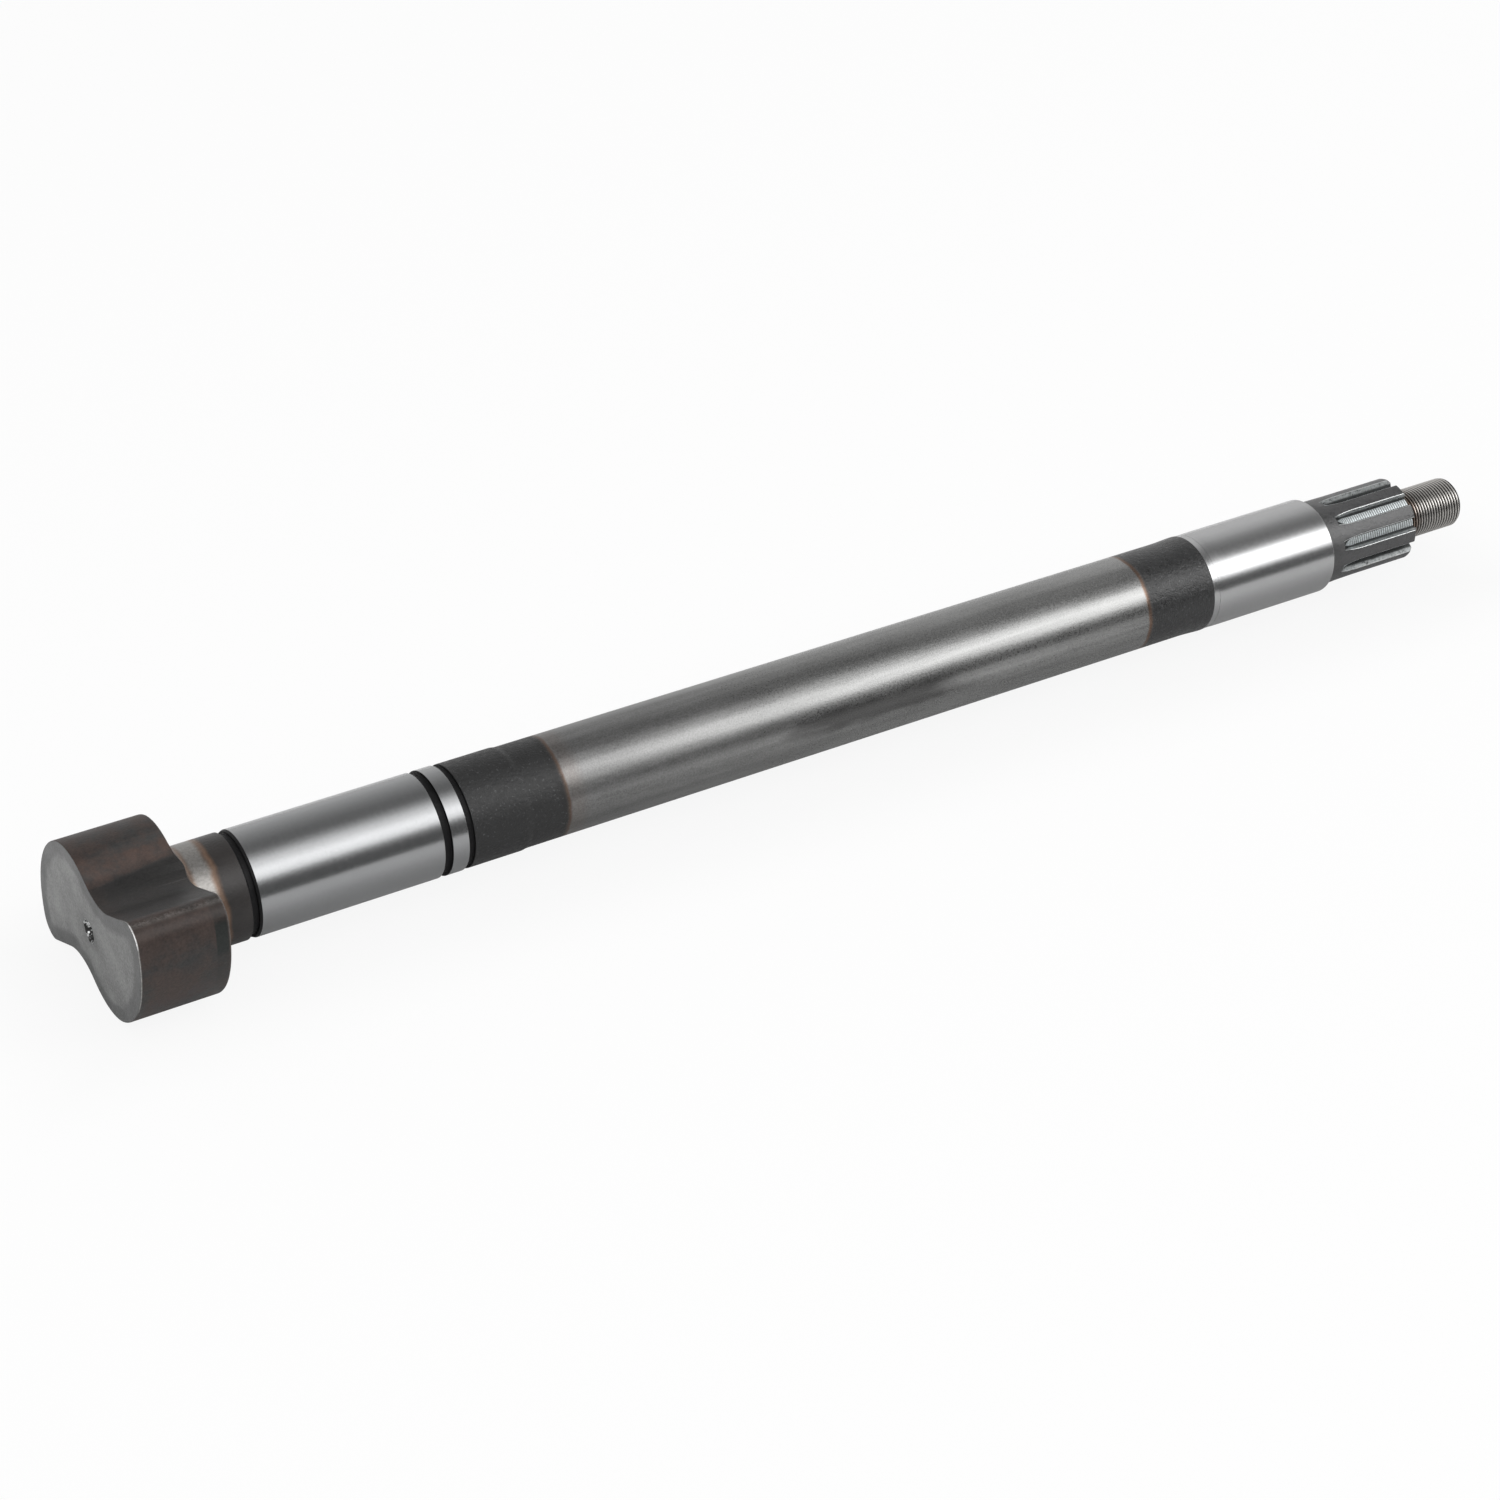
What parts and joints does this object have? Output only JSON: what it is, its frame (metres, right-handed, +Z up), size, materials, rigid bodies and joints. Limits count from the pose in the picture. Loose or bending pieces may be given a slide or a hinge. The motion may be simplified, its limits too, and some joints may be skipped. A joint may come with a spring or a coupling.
{
  "type": "brake camshaft",
  "caption": "One-piece brake camshaft: S-shaped cam head, ground journals with seal and ring grooves, plain shank, parallel-sided spline and threaded stud.",
  "frame": {"origin": "on the shaft's axis, at the middle of the journal beside the cam head", "axes": "+X along the shaft from the cam head to the threaded stud; +Z up with the shaft lying so that both cam lobes touch one level plane; +Y to the right seen from the stud's end along -X"},
  "size_m": [0.6442, 0.1054, 0.0556],
  "materials": {
    "camshaft": "ground and turned steel, black oxide between the ground parts"
  },
  "bodies": {
    "root": {"camshaft": "camshaft"}
  },
  "joints": []
}
